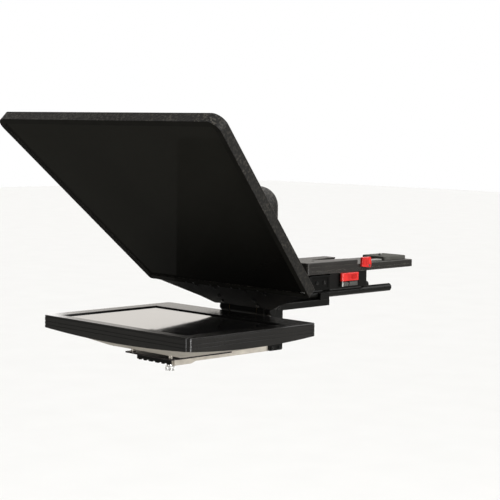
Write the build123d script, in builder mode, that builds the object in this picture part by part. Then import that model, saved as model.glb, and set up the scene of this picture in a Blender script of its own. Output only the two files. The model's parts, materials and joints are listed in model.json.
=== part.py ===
"""Studio teleprompter: tapered beam splitter hood, flat monitor, 15 mm rods and a sliding camera plate.

Millimetres. X is across, -Y is towards the presenter, +Z is up. The origin is the mouth of the tripod
screw hole, on the underside of the base plate.
"""
from build123d import *
from math import sqrt
import os

os.makedirs("parts", exist_ok=True)

# ---------------------------------------------------------------- driving dimensions
# Base and rods
base_half_width = 45.0
base_front_y = -92.0
base_rear_y = 68.0
base_thickness = 12.0
rod_radius = 7.5
rod_wall = 2.0
rod_half_spacing = 30.0
rod_lift = 1.5
rod_z = base_thickness + rod_lift + rod_radius
rod_front_y = -98.0
rod_rear_y = 252.0
cap_thickness = 3.0
tripod_hole_radius = 3.97
spare_hole_radius = 2.55
spare_hole_y = -30.0
running_gap = 0.05
side_gap = 0.3

# Hinge between the base and the hood
hinge_y = -112.0
hinge_z = 3.0
pin_radius = 5.0
pin_half_length = 62.0
barrel_radius = 10.0
barrel_half_width = 35.0
bush_radius = 7.0
bush_length = 12.0
bush_flange = 1.2
knuckle_inner_x = 37.0
knuckle_outer_x = 56.0
knuckle_radius = 11.0

# Hood rim, a tapered frame that leans 45 degrees over the monitor
rim_bottom_y = -165.0
rim_bottom_z = 45.0
rim_slant = 425.0
rim_half_bottom = 211.0
rim_half_top = 293.0
rim_thickness = 18.0
rim_wall = 5.0
rim_lip = 10.0
rim_lip_thickness = 3.0
rim_top_radius = 20.0
rim_bottom_radius = 6.0
glass_thickness = 4.0
gasket_thickness = 1.5
retainer_thickness = 2.5

# Shroud behind the glass, and its round lens opening
shroud_wall = 3.0
shroud_neck = 4.0
lens_z = 165.0
lens_radius = 52.0
collar_wall = 5.0
box_half_width = 100.0
box_low_z = 94.0
box_high_z = 232.0
box_corner = 36.0
box_front_y = -165.0
box_rear_y = -115.0
box_round = 32.0

# Monitor
monitor_half_width = 195.0
monitor_front_y = -430.0
monitor_rear_y = -130.0
monitor_top_z = -2.0
frame_height = 22.0
frame_bow = 7.0
frame_wall = 4.0
frame_corner = 9.0
screen_half_width = 167.0
screen_front_y = -409.0
screen_rear_y = -188.0
screen_depth = 2.2
cover_bottom_z = -52.0
cover_wall = 2.0

# Monitor arm under the monitor
arm_half_width = 45.0
arm_front_y = -333.0
arm_rear_y = -66.0
arm_bottom_z = -72.0
arm_top_z = -63.0
slide_top_z = -60.2
slide_half_width = 62.0
slide_front_y = -350.0
screw_y = -298.0
knob_radius = 8.5
knob_height = 8.0

# Camera carriage on the rods
riser_half_width = 45.0
riser_front_y = 7.0
riser_split_y = 65.0
riser_rear_y = 176.0
riser_bottom_z = 30.0
riser_top_z = 60.0
plate_front_y = 3.0
plate_rear_y = 310.0
plate_bottom_z = 60.4
plate_top_z = 74.5

monitor_mid_y = (monitor_front_y + monitor_rear_y) / 2
monitor_half_depth = (monitor_rear_y - monitor_front_y) / 2
root_half = sqrt(0.5)


# ---------------------------------------------------------------- helpers
def save(builder, name):
    """Label a finished sub-part and write it to its own STEP file."""
    builder.part.label = name
    export_step(builder.part, f"parts/{name}.step")


def along_y(x, y, z):
    """A plane that faces +Y, for bars that run rearwards."""
    return Plane(origin=(x, y, z), x_dir=(1, 0, 0), z_dir=(0, 1, 0))


def upright(y):
    """An upright plane that faces the presenter, with its own X and Y along the row's X and Z."""
    return Plane(origin=(0, y, 0), x_dir=(1, 0, 0), z_dir=(0, -1, 0))


def along_x(x, y, z):
    """A plane that faces +X, with its own X and Y along the row's Y and Z."""
    return Plane(origin=(x, y, z), x_dir=(0, 1, 0), z_dir=(1, 0, 0))


def up_at(x, y, z):
    """A level plane at a point, facing up."""
    return Plane(origin=(x, y, z), z_dir=(0, 0, 1))


def down_at(x, y, z):
    """A level plane at a point, facing down."""
    return Plane(origin=(x, y, z), x_dir=(1, 0, 0), z_dir=(0, 0, -1))


def add_block(x, y, z, mode=Mode.ADD):
    """Add or cut a block given as three (low, high) pairs."""
    with BuildSketch(Plane.XY.offset(z[0])) as footprint:
        with Locations(((x[0] + x[1]) / 2, (y[0] + y[1]) / 2)):
            Rectangle(x[1] - x[0], y[1] - y[0])
    extrude(footprint.sketch, amount=z[1] - z[0], mode=mode)


def add_rod(plane, radius, length, mode=Mode.ADD):
    """Add or cut a round bar that starts on a plane."""
    with BuildSketch(plane) as section:
        Circle(radius)
    extrude(section.sketch, amount=length, mode=mode)


def add_screw(seat, shank_radius, shank_length, head_radius, head_height):
    """Add a cap screw whose head stands on the seat plane and whose shank goes below it."""
    add_rod(seat, head_radius, head_height)
    add_rod(seat, shank_radius, -shank_length)
    with BuildSketch(seat.offset(head_height)) as socket:
        RegularPolygon(head_radius * 0.55, 6)
    extrude(socket.sketch, amount=-head_height * 0.55, mode=Mode.SUBTRACT)


def rim_plane(depth):
    """The hood's slanted plane, a depth behind the rim's front face; its Y runs up the slant."""
    y = rim_bottom_y + depth * root_half
    z = rim_bottom_z + depth * root_half
    return Plane(origin=(0, y, z), x_dir=(1, 0, 0), z_dir=(0, -1, -1))


def rim_half(height, inset=0.0):
    """Half width of the tapered rim at a height up the slant."""
    taper = (rim_half_top - rim_half_bottom) / rim_slant
    return rim_half_bottom + taper * height - inset * sqrt(1 + taper**2)


def rim_outline(inset, depth):
    """The rim's tapered outline, inset all round, on the slanted plane at a depth."""
    low = inset
    high = rim_slant - inset
    with BuildSketch(rim_plane(depth)) as outline:
        with BuildLine():
            Polyline(
                (-rim_half(low, inset), low),
                (rim_half(low, inset), low),
                (rim_half(high, inset), high),
                (-rim_half(high, inset), high),
                close=True,
            )
        make_face()
        fillet(outline.vertices().group_by(Axis.Y)[-1], max(rim_top_radius - inset, 6.0))
        fillet(outline.vertices().group_by(Axis.Y)[0], max(rim_bottom_radius - inset, 2.0))
    return outline.sketch.face()


def add_rim_slab(inset, depth, thickness, mode=Mode.ADD):
    """Add or cut a slab of the rim's outline, from a depth rearwards."""
    extrude(rim_outline(inset, depth), amount=-thickness, mode=mode)


# ---------------------------------------------------------------- base plate and rods
saddle_spans = ((-80.0, -56.0), (40.0, 64.0))
saddle_inner_x = 20.5
saddle_top_z = 24.0
saddle_screw_x = 41.0
saddle_screw_seat_z = 4.0
saddle_screw_length = 16.0
bracket_screw_spots = ((-87.0, 6.0), (-78.0, 6.0), (-93.0, -67.5), (-74.0, -67.5))
bracket_thickness = 4.0
bracket_screw_radius = 2.0
bracket_screw_length = 12.0

with BuildPart() as base_plate:
    add_block((-base_half_width, base_half_width), (base_front_y, base_rear_y), (0, base_thickness))
    fillet(base_plate.edges().filter_by(Axis.Z), 6)
    chamfer(base_plate.faces().sort_by(Axis.Z)[-1].edges(), 1)
    add_rod(up_at(0, 0, 0), tripod_hole_radius, base_thickness, Mode.SUBTRACT)
    add_rod(up_at(0, spare_hole_y, 0), spare_hole_radius, base_thickness, Mode.SUBTRACT)
    for side in (-1, 1):
        for low_y, high_y in saddle_spans:
            middle_y = (low_y + high_y) / 2
            add_rod(up_at(side * saddle_screw_x, middle_y, 0), 3.7, saddle_screw_seat_z, Mode.SUBTRACT)
            add_rod(up_at(side * saddle_screw_x, middle_y, 0), 2.0, base_thickness, Mode.SUBTRACT)
        for y, z in bracket_screw_spots[:2]:
            depth = bracket_screw_length - bracket_thickness
            add_rod(along_x(side * base_half_width, y, z), bracket_screw_radius, -side * depth,
                    Mode.SUBTRACT)
save(base_plate, "base_plate")

with BuildPart() as rod_saddles:
    for side in (-1, 1):
        span_x = sorted((side * saddle_inner_x, side * base_half_width))
        for low_y, high_y in saddle_spans:
            add_block(span_x, (low_y, high_y), (base_thickness, saddle_top_z))
        add_rod(along_y(side * rod_half_spacing, base_front_y, rod_z), rod_radius + running_gap,
                base_rear_y - base_front_y, Mode.SUBTRACT)
        for low_y, high_y in saddle_spans:
            screw_hole = up_at(side * saddle_screw_x, (low_y + high_y) / 2, base_thickness)
            add_rod(screw_hole, 2.0, saddle_screw_seat_z + saddle_screw_length - base_thickness,
                    Mode.SUBTRACT)
save(rod_saddles, "rod_saddles")

for side, name in ((-1, "rod_left"), (1, "rod_right")):
    with BuildPart() as rod:
        rod_start = along_y(side * rod_half_spacing, rod_front_y, rod_z)
        add_rod(rod_start, rod_radius, rod_rear_y - rod_front_y)
        add_rod(rod_start, rod_radius - rod_wall, rod_rear_y - rod_front_y, Mode.SUBTRACT)
    save(rod, name)

with BuildPart() as rod_end_caps:
    for side in (-1, 1):
        cap_seat = along_y(side * rod_half_spacing, rod_rear_y, rod_z)
        add_rod(cap_seat, rod_radius, cap_thickness)
        add_rod(cap_seat, rod_radius - rod_wall - running_gap, -10)
    fillet(rod_end_caps.edges().group_by(Axis.Y)[-1], 1.5)
save(rod_end_caps, "rod_end_caps")

# ---------------------------------------------------------------- hinge between the base and the hood
block_top_z = 31.0
block_web_z = 12.0
barrel_screw_x = 28.0
barrel_screw_back = 8.5
lever_inner_x = 57.4
lever_outer_x = 69.5

with BuildPart() as hinge_block:
    add_block((-base_half_width, base_half_width), (rod_front_y - 1, base_front_y - 1), (-2, block_top_z))
    add_block((-base_half_width, base_half_width), (base_front_y - 1, -84), (base_thickness, block_top_z))
    fillet(hinge_block.edges().filter_by(Axis.Y).group_by(Axis.Z)[-1], 6)
    add_block((-barrel_half_width, barrel_half_width), (hinge_y + 2, rod_front_y), (-6, block_web_z))
    add_rod(along_x(-barrel_half_width, hinge_y, hinge_z), barrel_radius, 2 * barrel_half_width)
    add_rod(along_x(-barrel_half_width, hinge_y, hinge_z), bush_radius, 2 * barrel_half_width,
            Mode.SUBTRACT)
    for side in (-1, 1):
        add_rod(along_y(side * rod_half_spacing, rod_front_y, rod_z), rod_radius, 30, Mode.SUBTRACT)
        screw_seat = up_at(side * barrel_screw_x, hinge_y + barrel_screw_back, block_web_z)
        add_rod(screw_seat, 2.0, -5, Mode.SUBTRACT)
        add_rod(screw_seat, 3.6, 3, Mode.SUBTRACT)
save(hinge_block, "hinge_block")

with BuildPart() as hinge_bushes:
    for side in (-1, 1):
        barrel_end = along_x(side * barrel_half_width, hinge_y, hinge_z)
        add_rod(barrel_end, bush_radius, -side * bush_length)
        add_rod(barrel_end, barrel_radius - 0.5, side * bush_flange)
    add_rod(along_x(-40, hinge_y, hinge_z), pin_radius + running_gap, 80, Mode.SUBTRACT)
save(hinge_bushes, "hinge_bushes")

with BuildPart() as hinge_pin:
    add_rod(along_x(-pin_half_length, hinge_y, hinge_z), pin_radius, pin_half_length + lever_outer_x - 1.5)
    chamfer(hinge_pin.edges().group_by(Axis.X)[-1], 0.8)
save(hinge_pin, "hinge_pin")

with BuildPart() as hinge_nut:
    add_rod(along_x(-pin_half_length - 2, hinge_y, hinge_z), 8.5, 6.5)
    fillet(hinge_nut.edges().group_by(Axis.X)[0], 2)
    add_rod(along_x(-pin_half_length, hinge_y, hinge_z), pin_radius, 20, Mode.SUBTRACT)
save(hinge_nut, "hinge_nut")

with BuildPart() as base_screws:
    for side in (-1, 1):
        for low_y, high_y in saddle_spans:
            seat = down_at(side * saddle_screw_x, (low_y + high_y) / 2, saddle_screw_seat_z)
            add_screw(seat, 2.0, saddle_screw_length, 3.5, 3.6)
        add_screw(up_at(side * barrel_screw_x, hinge_y + barrel_screw_back, block_web_z), 2.0, 5, 3.4, 2.6)
save(base_screws, "base_screws")

with BuildPart() as tilt_lever:
    add_rod(along_x(lever_inner_x, hinge_y, hinge_z), 8.0, lever_outer_x - lever_inner_x)
    fillet(tilt_lever.edges().group_by(Axis.X)[-1], 1.5)
    with BuildSketch(along_x(lever_inner_x + 4, hinge_y, hinge_z)) as lever_outline:
        Circle(6)
        with Locations((27, -21)):
            Circle(3.5)
        make_hull()
    extrude(amount=5)
    add_rod(along_x(lever_inner_x - 1, hinge_y, hinge_z), pin_radius + running_gap,
            lever_outer_x - lever_inner_x - 0.2, Mode.SUBTRACT)
save(tilt_lever, "tilt_lever")

# ---------------------------------------------------------------- brackets and monitor arm
for side, name in ((-1, "drop_bracket_left"), (1, "drop_bracket_right")):
    with BuildPart() as drop_bracket:
        with BuildSketch(along_x(side * base_half_width, 0, 0)) as bracket_outline:
            with BuildLine():
                Polyline((-92, 12), (-66, 12), (-66, -72), (-100, -72), (-100, -60), (-92, -22), close=True)
            make_face()
            fillet(bracket_outline.vertices(), 3)
            with BuildLine():
                Polyline((-84.5, -16), (-74, -10), (-74, -59), (-90, -59), close=True)
            make_face(mode=Mode.SUBTRACT)
        extrude(amount=side * bracket_thickness)
        for y, z in bracket_screw_spots:
            add_rod(along_x(side * base_half_width, y, z), bracket_screw_radius, side * bracket_thickness,
                    Mode.SUBTRACT)
    save(drop_bracket, name)

with BuildPart() as bracket_screws:
    for side in (-1, 1):
        outer_x = side * (base_half_width + bracket_thickness)
        for y, z in bracket_screw_spots:
            seat = Plane(origin=(outer_x, y, z), x_dir=(0, 1, 0), z_dir=(side, 0, 0))
            add_screw(seat, bracket_screw_radius, bracket_screw_length, 3.6, 2.4)
save(bracket_screws, "bracket_screws")

with BuildPart() as monitor_arm:
    add_block((-arm_half_width, arm_half_width), (arm_front_y, arm_rear_y), (arm_bottom_z, arm_top_z))
    for middle_x in (-31, -17, 17, 31):
        add_block((middle_x - 5, middle_x + 5), (arm_front_y, arm_rear_y), (arm_bottom_z, arm_bottom_z + 5),
                  Mode.SUBTRACT)
    add_block((-4.2, 4.2), (screw_y - 26, screw_y + 10), (arm_bottom_z, arm_top_z), Mode.SUBTRACT)
    for side in (-1, 1):
        for y, z in bracket_screw_spots[2:]:
            depth = bracket_screw_length - bracket_thickness
            add_rod(along_x(side * arm_half_width, y, z), bracket_screw_radius, -side * depth,
                    Mode.SUBTRACT)
save(monitor_arm, "monitor_arm")

with BuildPart() as arm_end_cap:
    cap_front_y = arm_front_y - 4
    tooth_low_z = arm_bottom_z - 1.5
    add_block((-44.8, 44.8), (cap_front_y, arm_front_y), (arm_bottom_z, arm_top_z - 0.2))
    add_block((-40, 40), (cap_front_y, arm_front_y), (tooth_low_z, arm_bottom_z))
    for middle_x in (-31, -17, 0, 17, 31):
        add_block((middle_x - 3.5, middle_x + 3.5), (cap_front_y, arm_front_y),
                  (tooth_low_z, arm_bottom_z + 0.5), Mode.SUBTRACT)
    chamfer(arm_end_cap.faces().sort_by(Axis.Y)[0].edges().filter_by(Axis.Z), 1)
save(arm_end_cap, "arm_end_cap")

# ---------------------------------------------------------------- hood: rim, glass and their fixings
glass_inset = rim_wall + 0.4
gasket_depth = rim_lip_thickness + glass_thickness
retainer_depth = gasket_depth + gasket_thickness
shroud_depth = retainer_depth + retainer_thickness + 0.2
rim_screw_x = (17.0, 39.0, 85.0, 105.0)

with BuildPart() as hood_rim:
    add_rim_slab(0, 0, rim_thickness)
    add_rim_slab(rim_lip, 0, rim_thickness, Mode.SUBTRACT)
    add_rim_slab(rim_wall, rim_lip_thickness, rim_thickness, Mode.SUBTRACT)
    for side in (-1, 1):
        for x in rim_screw_x:
            with BuildSketch(rim_plane(0)) as screw_hole:
                with Locations((side * x, rim_wall / 2)):
                    Circle(1.2)
            extrude(screw_hole.sketch, amount=-10, mode=Mode.SUBTRACT)
save(hood_rim, "hood_rim")

with BuildPart() as beam_splitter:
    add_rim_slab(glass_inset, rim_lip_thickness, glass_thickness)
save(beam_splitter, "beam_splitter")

with BuildPart() as glass_gasket:
    add_rim_slab(glass_inset, gasket_depth, gasket_thickness)
    add_rim_slab(12, gasket_depth, gasket_thickness, Mode.SUBTRACT)
save(glass_gasket, "glass_gasket")

with BuildPart() as glass_retainer:
    add_rim_slab(glass_inset, retainer_depth, retainer_thickness)
    add_rim_slab(14, retainer_depth, retainer_thickness, Mode.SUBTRACT)
save(glass_retainer, "glass_retainer")

with BuildPart() as rim_screws:
    for side in (-1, 1):
        for x in rim_screw_x:
            screw_seat = Plane(
                origin=rim_plane(0).from_local_coords((side * x, rim_wall / 2, 0)),
                x_dir=(1, 0, 0),
                z_dir=(0, -1, -1),
            )
            add_screw(screw_seat, 1.2, 10, 2.3, 1.0)
save(rim_screws, "rim_screws")

# ---------------------------------------------------------------- hood: shroud and lens collar


def shroud_rear(inset):
    """The shroud's upright section, where its flared front meets the lens box."""
    with BuildSketch(upright(box_front_y)) as section:
        with Locations((0, (box_low_z + box_high_z) / 2)):
            RectangleRounded(2 * (box_half_width - inset), box_high_z - box_low_z - 2 * inset,
                             box_corner - inset)
    return section.sketch.face()


with BuildPart() as hood_shroud:
    loft(sections=[rim_outline(glass_inset, shroud_depth), shroud_rear(0)])
    extrude(shroud_rear(0), amount=-shroud_neck)
    inner_sections = [rim_outline(glass_inset + shroud_wall, shroud_depth), shroud_rear(shroud_wall)]
    loft(sections=inner_sections, mode=Mode.SUBTRACT)
    extrude(shroud_rear(shroud_wall), amount=-shroud_neck, mode=Mode.SUBTRACT)
save(hood_shroud, "hood_shroud")

with BuildPart() as box_inside:
    extrude(shroud_rear(shroud_wall), amount=box_front_y - box_rear_y + shroud_wall)
    fillet(box_inside.faces().sort_by(Axis.Y)[-1].edges(), box_round - shroud_wall)

with BuildPart() as lens_box:
    extrude(shroud_rear(0), amount=box_front_y - box_rear_y)
    add_block((-box_half_width, box_half_width), (box_front_y, box_front_y + shroud_neck),
              (box_low_z, box_high_z), Mode.SUBTRACT)
    fillet(lens_box.faces().sort_by(Axis.Y)[-1].edges(), box_round)
    add_rod(along_y(0, box_rear_y - 30, lens_z), lens_radius + collar_wall, 34)
    add(box_inside.part, mode=Mode.SUBTRACT)
    add_rod(along_y(0, box_front_y, lens_z), lens_radius, 80, Mode.SUBTRACT)
save(lens_box, "lens_box")

with BuildPart() as lens_collar:
    add_rod(along_y(0, box_rear_y - 10, lens_z), lens_radius, 17)
    add_rod(along_y(0, box_rear_y + 4.2, lens_z), lens_radius + collar_wall + 2, 4)
    fillet(lens_collar.edges().group_by(Axis.Y)[-1], 1.5)
    add_rod(along_y(0, box_rear_y - 20, lens_z), lens_radius - 4, 40, Mode.SUBTRACT)
save(lens_collar, "lens_collar")

# ---------------------------------------------------------------- hood: chin plate and yoke
chin_depth = 4.0
chin_thickness = 5.0
chin_low = -55.5
chin_screw_spots = ((40.0, -10.0), (90.0, -10.0), (46.5, -34.0), (46.5, -48.0))
chin_screw_radius = 2.0
angle_half = 118.0
angle_thickness = 3.0
angle_leg = 20.0

with BuildPart() as chin_plate:
    with BuildSketch(rim_plane(chin_depth)) as chin_outline:
        with BuildLine():
            Polyline(
                (-56, chin_low),
                (56, chin_low),
                (74, -57),
                (103, -41),
                (143, -25),
                (184, -8.5),
                (207, -side_gap),
                (-207, -side_gap),
                (-184, -8.5),
                (-143, -25),
                (-103, -41),
                (-74, -57),
                close=True,
            )
        make_face()
        shoulders = chin_outline.vertices().filter_by(lambda corner: 60 < abs(corner.X) < 150)
        fillet(shoulders, 12)
        for side in (-1, 1):
            for x, height in chin_screw_spots:
                with Locations((side * x, height)):
                    Circle(chin_screw_radius, mode=Mode.SUBTRACT)
    extrude(amount=-chin_thickness)
save(chin_plate, "chin_plate")

with BuildPart() as chin_angle:
    with BuildSketch(rim_plane(chin_depth + chin_thickness)):
        with Locations((0, -side_gap - angle_leg / 2)):
            Rectangle(2 * angle_half, angle_leg)
        for side in (-1, 1):
            for x, height in chin_screw_spots[:2]:
                with Locations((side * x, height)):
                    Circle(chin_screw_radius, mode=Mode.SUBTRACT)
    extrude(amount=-angle_thickness)
    with BuildSketch(rim_plane(chin_depth + chin_thickness + angle_thickness)):
        with Locations((0, -side_gap - angle_thickness / 2)):
            Rectangle(2 * angle_half, angle_thickness)
    extrude(amount=-6)
save(chin_angle, "chin_angle")

for side, name in ((-1, "yoke_knuckle_left"), (1, "yoke_knuckle_right")):
    with BuildPart() as yoke_knuckle:
        add_rod(along_x(side * knuckle_inner_x, hinge_y, hinge_z), knuckle_radius,
                side * (knuckle_outer_x - knuckle_inner_x))
        with BuildSketch(rim_plane(chin_depth + chin_thickness)):
            with Locations((side * (knuckle_inner_x + knuckle_outer_x) / 2, -46)):
                Rectangle(knuckle_outer_x - knuckle_inner_x, 40)
            for x, height in chin_screw_spots[2:]:
                with Locations((side * x, height)):
                    Circle(chin_screw_radius, mode=Mode.SUBTRACT)
        extrude(amount=-7)
        add_rod(along_x(side * knuckle_inner_x, hinge_y, hinge_z), pin_radius + running_gap,
                side * (knuckle_outer_x - knuckle_inner_x), Mode.SUBTRACT)
    save(yoke_knuckle, name)

with BuildPart() as chin_screws:
    for side in (-1, 1):
        for x, height in chin_screw_spots:
            screw_seat = Plane(
                origin=rim_plane(chin_depth).from_local_coords((side * x, height, 0)),
                x_dir=(1, 0, 0),
                z_dir=(0, -1, -1),
            )
            add_screw(screw_seat, chin_screw_radius, 8, 3.4, 1.8)
save(chin_screws, "chin_screws")

# ---------------------------------------------------------------- monitor
corner_z = monitor_top_z - frame_height
middle_z = corner_z - frame_bow
screen_z = monitor_top_z - screen_depth
cavity_half_width = monitor_half_width - frame_wall
cover_top_half = (monitor_half_width - 8, monitor_half_depth - 8)
cover_low_half = (100.0, 80.0)
cover_screw_spots = ((-88.0, -352.0), (88.0, -352.0), (-88.0, -214.0), (88.0, -214.0))
groove_drops = (2.2, 10.2, 16.4)
groove_height = 1.1


def below_bow(plane, half):
    """The region below a bowed lower edge: level with the corners at half, lowest in the middle."""
    reach = half + 6
    reach_z = middle_z + frame_bow * (reach / half) ** 2
    floor_z = middle_z - 4
    with BuildSketch(plane) as region:
        with BuildLine():
            ThreePointArc((-reach, reach_z), (0, middle_z), (reach, reach_z))
            Polyline((reach, reach_z), (reach, floor_z), (-reach, floor_z), (-reach, reach_z))
        make_face()
    return region.sketch.face()


with BuildPart() as bow_cut:
    extrude(below_bow(upright(monitor_front_y - 5), monitor_half_width),
            amount=-2 * monitor_half_depth - 10)
    side_plane = along_x(-monitor_half_width - 5, monitor_mid_y, 0)
    extrude(below_bow(side_plane, monitor_half_depth), amount=2 * monitor_half_width + 10,
            mode=Mode.INTERSECT)

with BuildPart() as monitor_frame:
    with BuildSketch(Plane.XY.offset(middle_z)):
        with Locations((0, monitor_mid_y)):
            RectangleRounded(2 * monitor_half_width, 2 * monitor_half_depth, frame_corner)
    extrude(amount=monitor_top_z - middle_z)
    chamfer(monitor_frame.faces().sort_by(Axis.Z)[-1].edges(), 1)
    with BuildSketch(Plane.XY.offset(middle_z)):
        with Locations((0, monitor_mid_y)):
            RectangleRounded(2 * cavity_half_width, 2 * (monitor_half_depth - frame_wall),
                             frame_corner - frame_wall)
    extrude(amount=screen_z - middle_z, mode=Mode.SUBTRACT)
    add_block((-screen_half_width, screen_half_width), (screen_front_y, screen_rear_y),
              (screen_z, monitor_top_z), Mode.SUBTRACT)
    add(bow_cut.part, mode=Mode.SUBTRACT)
    for drop in groove_drops:
        with BuildSketch(Plane.XY.offset(monitor_top_z - drop)):
            with Locations((0, monitor_mid_y)):
                Rectangle(2 * monitor_half_width + 4, 2 * monitor_half_depth + 4)
                RectangleRounded(2 * monitor_half_width - 2, 2 * monitor_half_depth - 2, frame_corner - 1,
                                 mode=Mode.SUBTRACT)
        extrude(amount=-groove_height, mode=Mode.SUBTRACT)
save(monitor_frame, "monitor_frame")

with BuildPart() as screen_glass:
    add_block((-screen_half_width - 5, screen_half_width + 5), (screen_front_y - 5, screen_rear_y + 5),
              (screen_z - 2, screen_z))
save(screen_glass, "screen_glass")

with BuildPart() as lcd_panel:
    add_block((-screen_half_width - 8, screen_half_width + 8), (screen_front_y - 8, screen_rear_y + 8),
              (screen_z - 10, screen_z - 2))
save(lcd_panel, "lcd_panel")

with BuildPart() as driver_board:
    add_block((-85, 85), (-330, -235), (-23, -21.4))
    for x, y in ((-55, -300), (-10, -270), (48, -302)):
        add_block((x - 14, x + 14), (y - 12, y + 12), (-26, -23))
    for x in (-80, 80):
        for y in (-325, -240):
            add_rod(up_at(x, y, -21.4), 2.5, screen_z - 10 + 21.4)
save(driver_board, "driver_board")


def cover_section(z, half, inset):
    """A level rounded section of the rear cover."""
    with BuildSketch(Plane.XY.offset(z)) as section:
        with Locations((0, monitor_mid_y)):
            RectangleRounded(2 * (half[0] - inset), 2 * (half[1] - inset), 10 - inset)
    return section.sketch.face()


panel_y = -160.0
panel_half = 60.0
panel_low_z = cover_bottom_z
panel_hole_z = -43.0
socket_x = (-42.0, -24.0)
inlet_x = -2.0
rocker_x = 20.0
button_x = (36.0, 46.0)
rocker_half = (6.0, 4.0)
rocker_pin_radius = 1.0
rocker_pin_length = 12.0

with BuildPart() as rear_cover:
    loft(sections=[cover_section(corner_z, cover_top_half, 0),
                   cover_section(cover_bottom_z, cover_low_half, 0)])
    add_block((-panel_half, panel_half), (-215, panel_y), (panel_low_z, -31))
    inner_low_z = cover_bottom_z + cover_wall
    loft(sections=[cover_section(corner_z, cover_top_half, cover_wall + 1),
                   cover_section(inner_low_z, cover_low_half, cover_wall + 1)], mode=Mode.SUBTRACT)
    add_block((-panel_half + cover_wall, panel_half - cover_wall), (-213, panel_y - cover_wall),
              (inner_low_z, -33), Mode.SUBTRACT)
    for x in socket_x:
        add_rod(along_y(x, panel_y - 5, panel_hole_z), 4.0, 10, Mode.SUBTRACT)
    add_rod(along_y(inlet_x, panel_y - 5, panel_hole_z), 6.0, 10, Mode.SUBTRACT)
    for x in button_x:
        add_rod(along_y(x, panel_y - 5, panel_hole_z), 2.5 + side_gap, 10, Mode.SUBTRACT)
    add_block((rocker_x - rocker_half[0] - side_gap, rocker_x + rocker_half[0] + side_gap),
              (panel_y - 5, panel_y + 5),
              (panel_hole_z - rocker_half[1] - side_gap, panel_hole_z + rocker_half[1] + side_gap),
              Mode.SUBTRACT)
    add_rod(up_at(rocker_x, panel_y, panel_hole_z - rocker_pin_length / 2 - running_gap),
            rocker_pin_radius + running_gap, rocker_pin_length + 2 * running_gap, Mode.SUBTRACT)
    for x, y in cover_screw_spots:
        add_rod(up_at(x, y, cover_bottom_z), 1.5, cover_wall, Mode.SUBTRACT)
save(rear_cover, "rear_cover")

with BuildPart() as io_plate:
    add_block((-54, 54), (panel_y, panel_y + 1.5), (panel_low_z + 1, -35))
    for x in socket_x:
        add_rod(along_y(x, panel_y - 5, panel_hole_z), 4.0, 10, Mode.SUBTRACT)
    add_rod(along_y(inlet_x, panel_y - 5, panel_hole_z), 6.0, 10, Mode.SUBTRACT)
    for x in button_x:
        add_rod(along_y(x, panel_y - 5, panel_hole_z), 2.5 + side_gap, 10, Mode.SUBTRACT)
    add_block((rocker_x - rocker_half[0] - side_gap, rocker_x + rocker_half[0] + side_gap),
              (panel_y - 5, panel_y + 5),
              (panel_hole_z - rocker_half[1] - side_gap, panel_hole_z + rocker_half[1] + side_gap),
              Mode.SUBTRACT)
    add_rod(up_at(rocker_x, panel_y, panel_hole_z - rocker_pin_length / 2 - running_gap),
            rocker_pin_radius + running_gap, rocker_pin_length + 2 * running_gap, Mode.SUBTRACT)
save(io_plate, "io_plate")

with BuildPart() as video_sockets:
    for x in socket_x:
        add_rod(along_y(x, panel_y - 8, panel_hole_z), 4.0, 17)
        add_rod(along_y(x, panel_y + 1.5, panel_hole_z), 6.0, 2)
        add_rod(along_y(x, panel_y + 2, panel_hole_z), 3.2, 8, Mode.SUBTRACT)
        add_rod(along_y(x, panel_y + 2, panel_hole_z), 0.8, 6)
save(video_sockets, "video_sockets")

with BuildPart() as power_inlet:
    add_rod(along_y(inlet_x, panel_y - 8, panel_hole_z), 6.0, 12)
    add_rod(along_y(inlet_x, panel_y + 1.5, panel_hole_z), 7.5, 3)
    add_rod(along_y(inlet_x, panel_y - 4, panel_hole_z), 4.8, 10, Mode.SUBTRACT)
    with BuildSketch(along_y(inlet_x, panel_y - 4, panel_hole_z)) as contacts:
        with PolarLocations(2.6, 4):
            Circle(0.6)
    extrude(contacts.sketch, amount=6)
save(power_inlet, "power_inlet")

with BuildPart() as power_rocker:
    add_block((rocker_x - rocker_half[0], rocker_x + rocker_half[0]), (panel_y - 1.6, panel_y + 3.6),
              (panel_hole_z - rocker_half[1], panel_hole_z + rocker_half[1]))
    fillet(power_rocker.edges().group_by(Axis.Y)[-1], 0.8)
    add_rod(up_at(rocker_x, panel_y, panel_hole_z - rocker_pin_length / 2), rocker_pin_radius,
            rocker_pin_length)
save(power_rocker, "power_rocker")

for count, x in enumerate(button_x, start=1):
    with BuildPart() as menu_button:
        add_rod(along_y(x, panel_y - 3, panel_hole_z), 2.5, 7.2)
        fillet(menu_button.edges().group_by(Axis.Y)[-1], 0.6)
    save(menu_button, f"menu_button_{count}")

with BuildPart() as cover_screws:
    for x, y in cover_screw_spots:
        add_screw(down_at(x, y, cover_bottom_z), 1.5, 6, 3.0, 1.6)
save(cover_screws, "cover_screws")

# ---------------------------------------------------------------- monitor slide and its thumb screw
spacer_spots = ((-50.0, -340.0), (50.0, -340.0), (-50.0, -225.0), (50.0, -225.0))
slide_bottom_z = arm_top_z + 0.4
slide_rear_y = -205.0
guide_rear_y = -212.0
guide_lip_z = arm_bottom_z - side_gap
guide_low_z = guide_lip_z - 2.1

with BuildPart() as slide_spacers:
    for x, y in spacer_spots:
        add_rod(up_at(x, y, slide_top_z), 4.0, cover_bottom_z - slide_top_z)
save(slide_spacers, "slide_spacers")

with BuildPart() as slide_plate:
    add_block((-slide_half_width, slide_half_width), (slide_front_y, slide_rear_y),
              (slide_bottom_z, slide_top_z))
    fillet(slide_plate.edges().filter_by(Axis.Z), 3)
    add_rod(up_at(0, screw_y, slide_bottom_z), 3 + running_gap, 5, Mode.SUBTRACT)
save(slide_plate, "slide_plate")

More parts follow.
